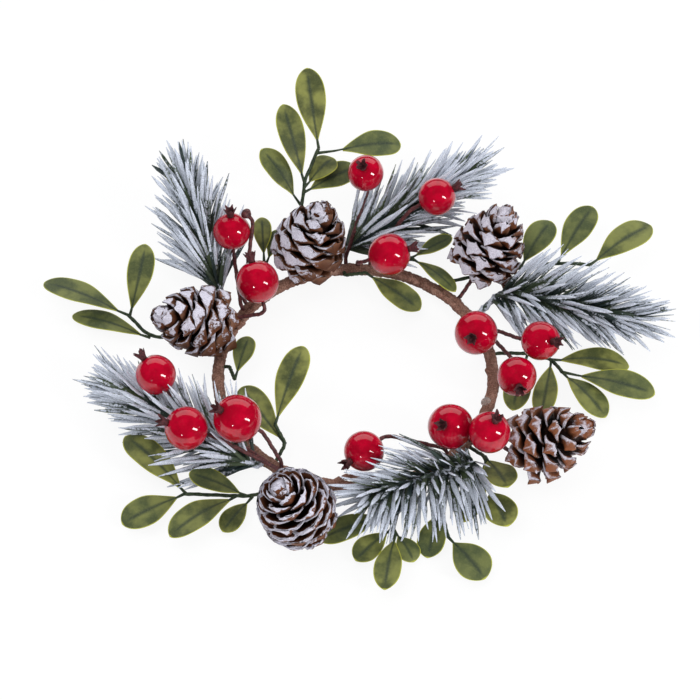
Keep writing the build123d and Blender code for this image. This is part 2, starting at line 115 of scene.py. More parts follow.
# quads between the rings of tubes stored as (tube, ring, point round), and one flat end at each end;
# round goes anticlockwise seen from the last ring, so the faces look outwards
def tubeShape(points, **looks):
    tubes, rings, around = points.shape[:3]
    firsts = np.arange(tubes)[:, None, None] * rings * around
    rows = np.arange(rings - 1)[None, :, None] * around + firsts
    here, after = rows + np.arange(around), rows + np.roll(np.arange(around), -1)
    quads = np.stack([here, after, after + around, here + around], -1).reshape(-1, 4)
    starts = np.arange(around)[::-1] + firsts[:, :, 0]
    ends = (rings - 1) * around + np.arange(around) + firsts[:, :, 0]
    flat = {key: np.broadcast_to(look, points.shape[:3]).reshape(-1) for key, look in looks.items()}
    return {"points": points.reshape(-1, 3), "faces": [quads, starts, ends], "looks": flat}


# the same for one surface that closes on itself both ways, as a ring does
def loopShape(points, **looks):
    rows, around = points.shape[:2]
    index = np.arange(rows * around).reshape(rows, around)
    after = np.roll(index, -1, 1)
    quads = np.stack([index, after, np.roll(after, -1, 0), np.roll(index, -1, 0)], -1).reshape(-1, 4)
    flat = {key: np.broadcast_to(look, points.shape[:2]).reshape(-1) for key, look in looks.items()}
    return {"points": points.reshape(-1, 3), "faces": [quads], "looks": flat}


def addObject(name, data):
    made = bpy.data.objects.new(name, data)
    bpy.context.scene.collection.objects.link(made)
    return made


# several shapes as one mesh object; looks become float attributes that the materials read
def putPiece(name, shapes, material, replaced, sharpAngle=None):
    keys = sorted({key for shape in shapes for key in shape["looks"]})
    points = np.concatenate([shape["points"] for shape in shapes])
    faces = []
    first = 0
    for shape in shapes:
        faces += [row for block in shape["faces"] for row in (block + first).tolist()]
        first += len(shape["points"])
    mesh = bpy.data.meshes.new(name)
    mesh.from_pydata(points.tolist(), [], faces)
    for key in keys:
        values = [shape["looks"].get(key, np.zeros(len(shape["points"]))) for shape in shapes]
        attribute = mesh.attributes.new(key, "FLOAT", "POINT")
        attribute.data.foreach_set("value", np.concatenate(values).astype(np.float32))
    mesh.polygons.foreach_set("use_smooth", np.ones(len(faces), bool))
    if sharpAngle is not None:
        mesh.set_sharp_from_angle(angle=radians(sharpAngle))
    mesh.materials.append(material)
    piece = addObject(name, mesh)
    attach(piece, "root")
    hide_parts(*replaced)


# straight runs whose corners are rounded by curves, as evenly spaced points along the whole line
def easedLine(corners, count, bendShare=0.4, bendPoints=13):
    corners = [np.asarray(corner, float) for corner in corners]
    share = linspace(0, 1, bendPoints)[:, None]
    path = [corners[0][None]]
    for before, corner, after in zip(corners, corners[1:], corners[2:]):
        cut = bendShare * min(np.linalg.norm(before - corner), np.linalg.norm(after - corner))
        start = corner + unit(before - corner) * cut
        end = corner + unit(after - corner) * cut
        path.append(start * (1 - share) ** 2 + corner * 2 * share * (1 - share) + end * share ** 2)
    path = np.concatenate(path + [corners[-1][None]])
    travelled = np.concatenate([[0], np.cumsum(np.linalg.norm(np.diff(path, axis=0), axis=1))])
    wanted = linspace(0, travelled[-1], count)
    return np.stack([np.interp(wanted, travelled, path[:, axis]) for axis in range(3)], -1)


# a round section carried along a line that lies nearly in a plane; its radius may vary along and round
def roundStem(line, radius, turn, **looks):
    tangent = unit(np.gradient(line, axis=0))
    planeNormal = np.linalg.svd(line - line.mean(0))[2][2]
    side = unit(np.cross(planeNormal, tangent))
    up = np.cross(tangent, side)
    ring = side[:, None] * cos(turn)[:, None] + up[:, None] * sin(turn)[:, None]
    return tubeShape((line[:, None] + ring * radius[..., None])[None], **looks)


# a profile of (radius, height) turned about an axis from a foot; a radius under a tenth of a millimetre
# at each end makes its poles, ripple multiplies the radius round and along, and lift adds to the height
def turnedShape(foot, axis, profile, turn, ripple, lift=0.0, **looks):
    along, side, up = axesAlong(axis)
    radius = profile[:, :1] * ripple
    height = profile[:, 1:] + lift
    ring = side * cos(turn)[:, None] + up * sin(turn)[:, None]
    points = foot + ring * radius[..., None] + along * height[..., None]
    return tubeShape(points[None], **looks)


# the profile of a ball from near one pole to near the other, with its polar angles
def ballProfile(radius, rings, polarGap, squash=1.0):
    polar = linspace(polarGap, pi - polarGap, rings)
    return polar, np.stack([sin(polar) * radius, -cos(polar) * radius * squash], -1)


# Node materials

def startMaterial(name, constants):
    material = bpy.data.materials.new(name)
    material.use_nodes = True
    tree = material.node_tree
    shader = tree.nodes["Principled BSDF"]
    for key, value in constants.items():
        shader.inputs[key].default_value = value
    return material, tree, shader


# one node with its settings, its socket values and links, and the socket that the caller reads
def node(tree, kind, inputs=None, output=0, **settings):
    made = tree.nodes.new("ShaderNode" + kind)
    for key, value in settings.items():
        setattr(made, key, value)
    for key, value in (inputs or {}).items():
        if isinstance(value, bpy.types.NodeSocket):
            tree.links.new(value, made.inputs[key])
        elif np.ndim(value):
            made.inputs[key].default_value[:3] = value
        else:
            made.inputs[key].default_value = value
    return made.outputs[output]


# what the mesh stores for each of its points under a name
def look(tree, name):
    return node(tree, "Attribute", output="Fac", attribute_name=name)


# a noise on the object's own coordinates
def noise(tree, scale, detail, roughness=0.55):
    where = node(tree, "TexCoord", output="Object")
    inputs = {"Vector": where, "Scale": scale, "Detail": detail, "Roughness": roughness}
    return node(tree, "TexNoise", inputs)


# several values joined by one operation, from first to last
def sums(tree, operation, first, *others):
    for other in others:
        first = node(tree, "Math", {0: first, 1: other}, operation=operation)
    return first


# a value around a half turned into one around zero, times an amount
def swing(tree, value, amount):
    return sums(tree, "MULTIPLY", sums(tree, "SUBTRACT", value, 0.5), amount)


# the value carried from one range to another, with a soft edge
def edge(tree, value, low, high, start=0.0, end=1.0):
    inputs = {"Value": value, "From Min": low, "From Max": high, "To Min": start, "To Max": end}
    return node(tree, "MapRange", inputs, interpolation_type="SMOOTHSTEP")


def mix(tree, share, first, second):
    return node(tree, "Mix", {0: share, 6: first, 7: second}, output=2, data_type="RGBA")


# two tones, the second where the value is above the range
def twoTones(tree, value, low, high, first, second):
    return mix(tree, edge(tree, value, low, high), first, second)


# a tone laid over a colour, up to an amount where the value is above the range
def layer(tree, base, value, low, high, amount, tone):
    return mix(tree, edge(tree, value, low, high, 0, amount), base, tone)


def paint(tree, shader, base):
    tree.links.new(base, shader.inputs["Base Color"])


def bump(tree, shader, height, distance, strength):
    raised = node(tree, "Bump", {"Height": height, "Distance": distance, "Strength": strength})
    tree.links.new(raised, shader.inputs["Normal"])


# a plain finish: one noise mixes its two tones and raises its surface
def grainedMaterial(name, constants, grain, tones, raised):
    material, tree, shader = startMaterial(name, constants)
    grain = noise(tree, *grain)
    paint(tree, shader, twoTones(tree, grain, 0.3, 0.7, *tones))
    bump(tree, shader, grain, *raised)
    return material


# snow laid over a colour as far as cover says: two whites mixed by a fine noise, and a rough surface
def layFlock(tree, shader, base, cover, flock, whites):
    white = twoTones(tree, flock, 0.3, 0.7, *whites)
    paint(tree, shader, mix(tree, cover, base, white))
    tree.links.new(edge(tree, cover, 0, 1, 0.5, 0.95), shader.inputs["Roughness"])


# Camera, light and floor

cameraLook = {
    "elevation": 52, "distance": 0.900, "sensor": 36, "lens": 176.8, "clip": (0.05, 20),
    "aim": (-0.00144, 0.00495, 0.00612),
}


def makeCamera():
    data = bpy.data.cameras.new("camera")
    data.sensor_width, data.lens = cameraLook["sensor"], cameraLook["lens"]
    data.clip_start, data.clip_end = cameraLook["clip"]
    camera = addObject("camera", data)
    rise = radians(cameraLook["elevation"])
    back = np.array([0, -cos(rise), sin(rise)])
    camera.location = np.array(cameraLook["aim"]) + back * cameraLook["distance"]
    camera.rotation_euler = (radians(90) - rise, 0, 0)
    bpy.context.scene.camera = camera


# softboxes: heading and rise as seen from the ring, distance, (width, height), roll, watts, and whether
# they show in what is glossy
lampLook = {
    "keyStrip": (-34, 30, 0.9, (0.12, 0.42), 30, 4.2, True),
    "frontSpark": (-110, 18, 0.9, (0.045, 0.045), 0, 0.5, True),
    "backWall": (90, 36, 1.3, (2.2, 0.9), 0, 9.0, True),
    "overhead": (200, 68, 1.2, (0.8, 0.8), 0, 4.0, False),
}


def makeLamps():
    for name, (heading, rise, distance, size, roll, watts, seen) in lampLook.items():
        data = bpy.data.lights.new(name, "AREA")
        data.shape = "RECTANGLE"
        data.size, data.size_y = size
        data.energy = watts
        data.normalize = True
        out, sideways, lengthways = axesAlong(pointing(heading, rise), roll)
        box = addObject(name, data)
        box.location = out * distance
        box.rotation_euler = Matrix(np.stack([sideways, lengthways, out], 1).tolist()).to_euler()
        box.visible_glossy = seen


worldLook = {"ambient": 0.62, "ambientInGloss": 0.025}


def makeWorld():
    world = bpy.data.worlds.new("studio")
    world.use_nodes = True
    tree = world.node_tree
    tree.nodes.clear()
    rays = tree.nodes.new("ShaderNodeLightPath")
    seen = sums(tree, "MAXIMUM", rays.outputs["Is Camera Ray"], rays.outputs["Is Transmission Ray"])
    soft = edge(tree, rays.outputs["Is Glossy Ray"], 0, 1, worldLook["ambient"], worldLook["ambientInGloss"])
    strength = node(tree, "Mix", {0: seen, 2: soft, 3: 1.0}, data_type="FLOAT")
    shade = node(tree, "Background", {"Color": (0.985, 0.99, 1.0), "Strength": strength})
    out = tree.nodes.new("ShaderNodeOutputWorld")
    tree.links.new(shade, out.inputs["Surface"])
    bpy.context.scene.world = world


floorLook = {"half": 4.0, "drop": 0.00004, "colour": (0.93, 0.93, 0.935, 1.0), "glow": 0.90}


def makeFloor():
    half, low = floorLook["half"], -floorLook["drop"]
    corners = [(-half, -half, low), (half, -half, low), (half, half, low), (-half, half, low)]
    mesh = bpy.data.meshes.new("floor")
    mesh.from_pydata(corners, [], [(0, 1, 2, 3)])
    constants = {"Base Color": floorLook["colour"], "Roughness": 0.9, "Specular IOR Level": 0.1}
    material, tree, shader = startMaterial("floorWhite", constants)
    white = node(tree, "Emission", {"Color": (1, 1, 1), "Strength": 1.0})
    rays = tree.nodes.new("ShaderNodeLightPath")
    share = sums(tree, "MULTIPLY", rays.outputs["Is Camera Ray"], floorLook["glow"])
    both = node(tree, "MixShader", {0: share, 1: shader.outputs[0], 2: white})
    tree.links.new(both, tree.nodes["Material Output"].inputs["Surface"])
    mesh.materials.append(material)
    addObject("floor", mesh)


makeCamera()
makeLamps()
makeWorld()
makeFloor()
bpy.context.scene.view_settings.view_transform = "Standard"
print("camera, lamps, world and floor made")


# Bark-taped ring, taped stem ends and beads of glue

ringLook = {
    "rows": 900, "around": 36, "tapePitch": 5.2 * mm, "tapeStep": 0.16 * mm, "wrinkle": 0.13 * mm,
    "swell": 0.22 * mm, "nubHeight": 1.0 * mm, "nubSpread": 1.0 * mm, "inset": 0.12 * mm, "lowest": 0.02 * mm,
    "nubs": ((2, 150), (17, 130), (90, 120), (119, 150), (-138, 60), (-112, 150), (-68, 60), (-178, 60),
             (-97, 140), (-88, 100), (40, 150), (66, 140), (150, 165), (-60, 130)),
}


def barkMaterial():
    material, tree, shader = startMaterial("barkTape", {"Roughness": 0.82, "Specular IOR Level": 0.3})
    fibres = noise(tree, 2600, 5, 0.7)
    patches = noise(tree, 420, 3, 0.6)
    base = twoTones(tree, fibres, 0.32, 0.68, (0.105, 0.045, 0.032), (0.34, 0.185, 0.135))
    base = layer(tree, base, patches, 0.52, 0.72, 0.55, (0.47, 0.30, 0.235))
    paint(tree, shader, layer(tree, base, look(tree, "seam"), 0.55, 1.0, 0.75, (0.06, 0.025, 0.02)))
    bump(tree, shader, sums(tree, "ADD", fibres, patches), 0.00022, 0.7)
    return material


# a closed tube round the ring: its radius is a little less than the binding's, plus a step where each
# lap of tape ends, wrinkles that run with the laps, a slow swelling, and a round rise at each nub
def ringShape():
    rows, around = ringLook["rows"], ringLook["around"]
    along, turn = roundTurn(rows)[:, None], roundTurn(around)
    laps = round(2 * pi * ringRadius / ringLook["tapePitch"])
    lap = (along * laps / (2 * pi) + turn / (2 * pi)) % 1.0
    generator = np.random.default_rng(seeds["tape"])
    reach = np.full((rows, around), bindingThickness / 2 - ringLook["inset"])
    reach += ringLook["tapeStep"] * (1 - lap) ** 2
    for harmonic in (37, 61, 97, 143, 211):
        phase = generator.uniform(0, 2 * pi, 2)
        twist = generator.integers(1, 5)
        wave = sin(along * harmonic + turn * twist + phase[0]) * sin(turn * 2 + phase[1])
        reach += ringLook["wrinkle"] * wave * 0.35
    for harmonic in (5, 9, 14):
        phase = generator.uniform(0, 2 * pi, 2)
        reach += ringLook["swell"] * 0.4 * sin(along * harmonic + phase[0]) * cos(turn + phase[1])
    for angle, tilt in ringLook["nubs"]:
        ahead = (along - radians(angle) + pi) % (2 * pi) - pi
        beside = (turn - radians(tilt) + pi) % (2 * pi) - pi
        distance = np.hypot(ahead * ringRadius, beside * bindingThickness / 2) / ringLook["nubSpread"]
        reach += ringLook["nubHeight"] * exp(-distance ** 2)
    height = np.maximum(bindingThickness / 2 + reach * sin(turn), ringLook["lowest"])
    radius = ringRadius + reach * cos(turn)
    points = np.stack([radius * cos(along), radius * sin(along), height], -1)
    return loopShape(points[:, ::-1], seam=exp(-((lap[:, ::-1] - 0.985) / 0.03) ** 2))


# thin taped stem ends that lie along the inside of the ring: where each starts, in degrees
pickStemLook = {
    "starts": {1: 132, 2: 60, 3: 30, 4: -96, 5: -166}, "diameter": 1.7 * mm, "gap": 0.15 * mm,
    "sweep": 24, "tilt": 135, "rings": 40, "around": 14,
}


def pickStemShape(start):
    angles = linspace(start, start + pickStemLook["sweep"], pickStemLook["rings"])
    reach = bindingThickness / 2 + pickStemLook["gap"] + pickStemLook["diameter"] / 2
    tilt = radians(pickStemLook["tilt"])
    line = pointing(angles, 0) * (ringRadius + reach * cos(tilt))
    line[:, 2] = bindingThickness / 2 + reach * sin(tilt)
    share = linspace(0, 1, len(angles))[:, None]
    taper = np.minimum(1, np.minimum(share, 1 - share) * 9 + 0.35)
    turn = roundTurn(pickStemLook["around"])
    wave = sin(share * 41 + turn * 2 + start)
    knobs = 1 + 0.12 * wave + 0.08 * sin(share * 97 + start)
    radius = pickStemLook["diameter"] / 2 * 0.95 * taper * knobs
    return roundStem(line, radius, turn, seam=smoothStep(0.8, 1.0, wave))


glueLook = {
    "angles": (105, -16), "tilt": 120, "diameter": 2.6 * mm, "squash": 0.85, "rings": 18, "around": 28,
}


def glueMaterial():
    constants = {"Roughness": 0.08, "IOR": 1.48, "Transmission Weight": 0.75}
    tones = (0.93, 0.90, 0.86), (0.80, 0.72, 0.66)
    return grainedMaterial("clearGlue", constants, (900, 2), tones, (0.0003, 0.4))


# a squashed drop: a ball's profile whose outline is a little uneven
def glueShape(angle):
    middle, out = rootLine((angle, glueLook["tilt"]))
    profile = ballProfile(glueLook["diameter"] / 2, glueLook["rings"], 0.02, glueLook["squash"])[1]
    turn = roundTurn(glueLook["around"])
    ripple = 1 + 0.10 * sin(turn * 2 + angle) + 0.05 * sin(turn * 3 + 1)
    return turnedShape(middle + out * bindingThickness / 2, out, profile, turn, ripple)


bark = barkMaterial()
putPiece("barkRing", [ringShape()], bark, ["ring_binding"])
for pick, start in pickStemLook["starts"].items():
    putPiece(f"pickStem{pick}", [pickStemShape(start)], bark, [f"pick_stem_{pick}"])
drops = [glueShape(angle) for angle in glueLook["angles"]]
putPiece("glueDrops", drops, glueMaterial(), ["glue_beads"])
print("ring, stem ends and glue made")


# Berries, with their calyxes and wires

# pick number and letter: place, (heading, rise) of the calyx, diameter share, root of the wire; a berry
# that stands against another has that one's name and the heading and rise from its middle as its place
berryTable = {
    "1a": ((132, 1.36, 0.47), (100, 72), 0.93, (145, 70)),
    "1b": ((139, 0.95, 0.36), (112, 46), 1.07, (152, 90)),
    "2a": ((87, 1.45, 0.62), (-113, 66), 0.91, (94, 45)),
    "2b": ((65, 1.43, 0.53), (16, 22), 0.95, (84, 45)),
    "2c": ((74, 0.90, 0.38), (7, 16), 1.06, (89, 90)),
    "3a": ((8.5, 0.88, 0.38), (-105, 39), 1.07, (27, 90)),
    "3b": ((0.5, 1.33, 0.44), (-42, 37), 0.96, (22, 45)),
    "3c": ((-11.5, 1.18, 0.34), (-86, 21), 0.97, (18, 70)),
    "4a": ((-86, 0.85, 0.27), (-135, 6), 0.97, (-48, 125)),
    "4b": ((-48, 1.00, 0.42), (-122, 52), 1.1, (-43, 90)),
    "4c": (("4b", -26, 20), (-12, 76), 1.0, (-37, 60)),
    "5a": ((-167, 1.46, 0.48), (137, 37), 0.98, (-123, 55)),
    "5b": ((-146.5, 1.43, 0.46), (-179, 28), 1.05, (-119, 55)),
    "5c": ((-138, 1.12, 0.52), (-170, 47), 1.16, (-122, 95)),
}
bareWire = {
    "pick": 1, "tip": (127, 1.33, 0.61), "way": (160, 50), "root": (141, 35),
    "bud": 2.6 * mm, "rings": 16, "around": 30, "ribs": 5,
}
berryLook = {
    "diameter": 10.6 * mm, "gap": 0.35 * mm, "rings": 40, "around": 56, "lumps": 0.012, "dimple": 0.35 * mm,
    "wireDiameter": 1.1 * mm, "wireInside": 0.3, "calyxHeight": 2.4 * mm, "calyxDiameter": 2.9 * mm,
    "calyxSink": 0.35 * mm, "calyxAround": 40, "sepals": 5, "margin": 0.5 * mm,
}


def berryMaterial():
    constants = {"Roughness": 0.16, "IOR": 1.5, "Coat Weight": 1.0, "Coat Roughness": 0.03,
                 "Specular IOR Level": 0.08}
    material, tree, shader = startMaterial("berryLacquer", constants)
    mottle = noise(tree, 330, 4, 0.6)
    deep = twoTones(tree, mottle, 0.35, 0.7, (0.33, 0.0004, 0.014), (0.47, 0.0007, 0.021))
    paint(tree, shader, mix(tree, look(tree, "cup"), deep, (0.16, 0.004, 0.01)))
    bump(tree, shader, noise(tree, 800, 2), 0.00012, 0.10)
    return material


# a ball with a small dimple at its calyx and low lumps all over
def berryShape(middle, direction, diameter, seed):
    polar, profile = ballProfile(diameter / 2, berryLook["rings"], 0.012)
    turn = roundTurn(berryLook["around"])
    phase = phases(seed, 4)
    large = sin(polar[:, None] * 2 + phase[0]) * sin(turn * 2 + phase[1])
    small = sin(polar[:, None] * 3 + phase[2]) * sin(turn * 3 + phase[3])
    lumps = 1 + berryLook["lumps"] * (large + 0.6 * small)
    fromPole = pi - polar
    profile[:, 1] -= berryLook["dimple"] * exp(-(fromPole / 0.22) ** 2)
    cup = exp(-(fromPole / 0.20) ** 2)[:, None]
    return turnedShape(middle, direction, profile, turn, lumps, cup=cup)


# a withered cup: a thin wall that widens to a rim cut into sepals, up its outside and down its inside
def calyxShape(middle, direction, diameter, seed):
    half, high = berryLook["calyxDiameter"] / 2, berryLook["calyxHeight"]
    stations = np.array([[0.02, 0.0], [0.62, 0.0], [0.60, 0.22], [0.72, 0.45], [0.90, 0.72], [1.0, 1.0],
                         [0.90, 0.98], [0.70, 0.70], [0.50, 0.45], [0.02, 0.36]])
    turn = roundTurn(berryLook["calyxAround"])
    phase = phases(seed, 3)
    sepal = cos(turn * berryLook["sepals"] + phase[0]) + 0.35 * cos(turn * 3 + phase[1])
    crease = 0.10 * sin(turn * 11 + phase[2])
    strength = stations[:, 1:]
    ripple = 1 + strength * (0.20 * sepal + crease)
    lift = strength * high * (0.20 * sepal + 0.5 * crease)
    foot = middle + direction * (diameter / 2 - berryLook["calyxSink"])
    return turnedShape(foot, direction, stations * [half, high], turn, ripple, lift)


def calyxMaterial():
    tones = (0.028, 0.008, 0.010), (0.12, 0.022, 0.028)
    return grainedMaterial("driedCalyx", {"Roughness": 0.7}, (1500, 4, 0.65), tones, (0.0003, 0.6))


def wireMaterial():
    tones = (0.035, 0.010, 0.012), (0.15, 0.035, 0.035)
    return grainedMaterial("darkWire", {"Roughness": 0.55}, (1400, 4, 0.6), tones, (0.00025, 0.5))


# a wrapped wire: a round section with slow knobs along it
def wireShape(corners, diameter, seed, count=48, around=12):
    phase = phases(seed, 2)
    share = linspace(0, 1, count)[:, None]
    turn = roundTurn(around)
    knobs = 1 + 0.10 * sin(share * 37 + turn + phase[0]) + 0.07 * sin(share * 83 - turn * 2 + phase[1])
    return roundStem(easedLine(corners, count), diameter / 2 * 0.95 * knobs, turn)


# balls that the pine needles stay clear of: (middle, radius) of the berries and cones
obstacles = []


def makeBerries():
    lacquer, dried, wire = berryMaterial(), calyxMaterial(), wireMaterial()
    calyxes = {pick: [] for pick in pickStemLook["starts"]}
    wires = {pick: [] for pick in pickStemLook["starts"]}
    balls = {}
    for seed, (name, (where, way, share, root)) in enumerate(berryTable.items(), seeds["berry"]):
        pick = int(name[0])
        direction = pointing(*way)
        diameter = berryLook["diameter"] * share
        if where[0] in balls:
            other, otherDiameter = balls[where[0]]
            middle = other + pointing(*where[1:]) * ((diameter + otherDiameter) / 2 + berryLook["gap"])
        else:
            middle = onRing(where)
        balls[name] = (middle, diameter)
        obstacles.append((middle, diameter / 2 + berryLook["margin"]))
        ball = berryShape(middle, direction, diameter, seed)
        putPiece(f"berry{name}", [ball], lacquer, [f"berry_{name}"])
        calyxes[pick].append(calyxShape(middle, direction, diameter, seeds["calyx"] + seed))
        lead = middle - direction * (diameter / 2 + wireLead)
        corners = rootPoints(root) + [lead, middle - direction * diameter * berryLook["wireInside"]]
        wires[pick].append(wireShape(corners, berryLook["wireDiameter"], seed))
    tip = onRing(bareWire["tip"])
    way = pointing(*bareWire["way"])
    corners = rootPoints(bareWire["root"]) + [tip - way * wireLead, tip]
    bare = wireShape(corners, berryLook["wireDiameter"], seeds["bareWire"])
    wires[bareWire["pick"]] += [bare, budShape(tip, way)]
    for pick in calyxes:
        putPiece(f"berryCalyxes{pick}", calyxes[pick], dried, [f"berry_calyxes_{pick}"])
        putPiece(f"berryWires{pick}", wires[pick], wire, [f"berry_wires_{pick}"])
    return wire


# a dried bud: a ball's profile, ribbed lengthways
def budShape(tip, way):
    polar, profile = ballProfile(bareWire["bud"] / 2, bareWire["rings"], 0.05)
    turn = roundTurn(bareWire["around"])
    ripple = 1 + 0.14 * sin(turn * bareWire["ribs"]) * sin(polar)[:, None]
    return turnedShape(tip, way, profile, turn, ripple)


darkWire = makeBerries()
print("berries made")


# Pine cones

# place of the base, (heading, rise), size share, how the scales open, root, and its finish
coneTable = {
    1: ((112, 1.03, 0.20), (24, 72), 1.04, 1.0, (113, 90), "patched"),
    2: ((44, 1.26, 0.20), (38, 60), 1.02, 0.8, (43, 20), "snowed"),
    3: ((162, 1.02, 0.26), (196, 27), 1.02, 1.05, (161, 80), "patched"),
    4: ((-104, 1.42, 0.17), (199, 68), 1.03, 1.0, (-101, 15), "rimmed"),
    5: ((-34, 1.43, 0.20), (0, 35), 1.04, 1.1, (-31, 15), "bare"),
}
# end: how thick a scale is at its end, keel: how sharp the end's middle stands out, corner: how far its
# sides hang down, jag: how ragged its edge is; face, rim, keelSnow and patch: how much snow lies on the
# end, on its edge, on its ridge and in large patches; wood: how light the wood is; then painted light and
# shade:
# how much whiter what faces up and to the left is, and how much browner what faces away; soft: how softly it
# ends; cover: how fully it hides the wood
finishColumns = ("scales", "end", "width", "keel", "corner", "jag", "face",
                 "rim", "keelSnow", "patch", "wood", "lampSide", "soft", "cover")
finishTable = {
    "patched": (42, 3.5 * mm, 1.16, 0.4, 0.5, 0.45, 0.51, 0.42, 0.0, 0.42, 0.45, 0.55, 0.06, 1.0),
    "snowed": (42, 3.0 * mm, 1.02, 0.5, 0.4, 1.0, 0.80, 0.50, 0.5, 0.65, 0.70, 0.45, 0.12, 0.9),
    "rimmed": (48, 1.5 * mm, 1.16, 0.1, 0.5, 1.0, 0.58, 0.82, 0.0, 0.62, 0.6, 0.35, 0.06, 1.0),
    "bare": (40, 3.4 * mm, 0.88, 0.9, 0.5, 0.35, 0.20, 0.56, 0.38, 0.62, 0.98, 0.36, 0.20, 0.84),
}
coneFinish = {name: dict(zip(finishColumns, row)) for name, row in finishTable.items()}
# balls: (place along the cone, radius share) of what the needles keep clear of
# the cones' painted light and shade come from up and to the left, along the direction given here
coneLook = {
    "length": 21 * mm, "diameter": 19.5 * mm, "around": 26, "width": 8.2 * mm, "thickness": 0.7 * mm,
    "tips": (0.09, 1.0), "drops": (-0.06, 0.44), "root": 0.16, "foot": 0.3, "tip": 0.985, "fullness": 0.62,
    "leastWidth": 1.9 * mm, "wrap": 0.62, "leastWrap": 2.4 * mm, "bulge": 0.10, "endTurns": (92, 48),
    "lampFrom": (-0.48, -0.22, 0.85), "lowest": 0.12 * mm, "coreRings": 24, "coreAround": 20,
    "wireDiameter": 1.1 * mm, "wireInCone": 3 * mm, "balls": ((0.22, 0.98), (0.5, 0.93), (0.76, 0.80)),
}


# the cone's half width at a share of its scales: full low down, drawn in at the tip
def coneSide(share):
    wave = sin(pi * (coneLook["foot"] + (coneLook["tip"] - coneLook["foot"]) * share))
    return coneLook["diameter"] / 2 * wave ** coneLook["fullness"]


# all scales at once, as (scale, ring, round): each runs straight from a root near the axis to its tip,
# thin at first and then with a thick end, whose outer face falls from the tip to a ridge and has the
# shape of a rhombus; its sides fall back as the square of the distance from its middle
def coneScales(size, opening, finish, seed):
    generator = np.random.default_rng(seed)
    count, around = finish["scales"], coneLook["around"]
    share = linspace(0, 1, count)[:, None, None]
    mixed = [generator.normal(0, 1, (count, 1, 1)) for _ in range(5)]
    lowest, highest = coneLook["tips"]
    least, most = coneLook["drops"]
    tipOut = coneSide(share) * (1 + 0.015 * mixed[0])
    tipUp = coneLook["length"] * (lowest + (highest - lowest) * share) - 0.2 * mm * np.abs(mixed[1])
    rootOut = coneLook["diameter"] / 2 * coneLook["root"] * (1 - share)
    rootUp = tipUp - coneLook["length"] * (least + (most - least) * share ** opening)
    reach = np.hypot(tipOut - rootOut, tipUp - rootUp)
    # how far along the upper face and the lower face, how thick there, and how much is the end's face
    upper, lower, thick, front = np.array([
        [0, 0.25, 0.5, 0.68, 0.80, 0.88, 0.93, 0.96, 0.975, 0.985, 0.995, 1.0],
        [0, 0.25, 0.48, 0.62, 0.74, 0.84, 0.92, 0.955, 0.97, 0.98, 0.99, 1.0],
        [0, 0, 0.02, 0.18, 0.45, 0.74, 0.96, 1.0, 0.80, 0.52, 0.24, 0.03],
        [0, 0, 0, 0, 0, 0.02, 0.2, 0.55, 0.85, 1, 1, 0.9],
    ])[..., None]
    turn = roundTurn(around) + pi / around
    across = np.sign(cos(turn)) * np.abs(cos(turn)) ** 0.8
    under = turn > pi
    run = np.where(under, lower, upper)
    sideShare = coneSide(share) / (coneLook["diameter"] / 2)
    half = np.maximum(coneLook["width"] / 2 * sideShare, coneLook["leastWidth"])
    half = half * finish["width"] * (1 + 0.07 * mixed[2])
    past = np.clip((np.minimum(run, np.where(under, 0.93, 1.0)) - 0.60) / 0.44, 0, 1)
    outline = (0.38 + 0.62 * smoothStep(-0.1, 0.64, run)) * (1 - past ** 3.0) ** 0.6
    outline = outline + 0.05 * finish["jag"] * sin(run * 23 + mixed[3] * 9) * smoothStep(0.6, 0.8, run)
    skew = 0.10 * mixed[4] * run ** 2
    sideways = (across * outline + skew) * half
    # the end's thickness fades to the sides, more sharply the more it is keeled
    fade = (1 - finish["keel"]) * (1 - np.abs(across) ** 1.5) + finish["keel"] * (1 - np.abs(across)) ** 0.9
    ragged = 1 + finish["jag"] * 0.22 * sin(across * 4.5 + mixed[3] * 7)
    ends = finish["end"] * (0.55 + 0.45 * sideShare)
    depth = coneLook["thickness"] * (0.8 - 0.45 * run) + ends * thick * fade * ragged
    depth = np.where(under, depth, 0)
    first, last = coneLook["endTurns"]
    fall = radians(first + (last - first) * share)
    lean = np.arctan2(tipOut - rootOut, tipUp - rootUp)
    # the end grows down along its own face, the thin part straight away from the upper face
    blend = smoothStep(0.45, 0.9, run)
    away = cos(lean) * (1 - blend) + cos(fall) * blend
    down = sin(lean) * (1 - blend) + sin(fall) * blend
    bulge = coneLook["bulge"] * reach * sin(pi * run ** 1.3)
    corner = finish["corner"] * ends * np.abs(across) ** 1.5 * smoothStep(0.5, 1, run)
    outwards = rootOut + (tipOut - rootOut) * run + cos(lean) * bulge + away * depth
    outwards = outwards + cos(fall) * (corner - ends * 0.9 * smoothStep(0.4, 1, run))
    upwards = rootUp + (tipUp - rootUp) * run - sin(lean) * bulge - down * depth - sin(fall) * corner
    wave = (0.10 + 0.22 * finish["jag"]) * mm * sin(across * 6 + mixed[0] * 5) * run ** 3
    wave = wave + 0.20 * finish["jag"] * mm * sin(across * 13 + mixed[1] * 5) * run ** 4
    back = sideways ** 2 / (2 * coneLook["wrap"] * np.maximum(outwards, coneLook["leastWrap"]))
    bearing = radians(goldenAngle) * np.arange(count)[:, None, None] + 0.03 * mixed[1]
    radial = outwards - back
    height = upwards + wave + 0.12 * back
    x = radial * cos(bearing) - sideways * sin(bearing)
    y = radial * sin(bearing) + sideways * cos(bearing)
    points = np.stack(np.broadcast_arrays(x, y, height), -1) * size
    rim = smoothStep(0.62, 0.95, np.abs(across)) * smoothStep(0.5, 0.7, run)
    rim = rim + smoothStep(np.where(under, 0.97, 0.89), np.where(under, 1.0, 0.99), run)
    rim = np.clip(rim, 0, 1)
    return points, {"run": run, "front": front * under, "rim": rim, "inner": ~under, "across": np.abs(across)}


# points of a cone that stands upright, carried to its foot and turned to its direction
def placeLocal(points, foot, direction):
    along, side, up = axesAlong(direction)
    return foot + points[..., :1] * side + points[..., 1:2] * up + points[..., 2:] * along


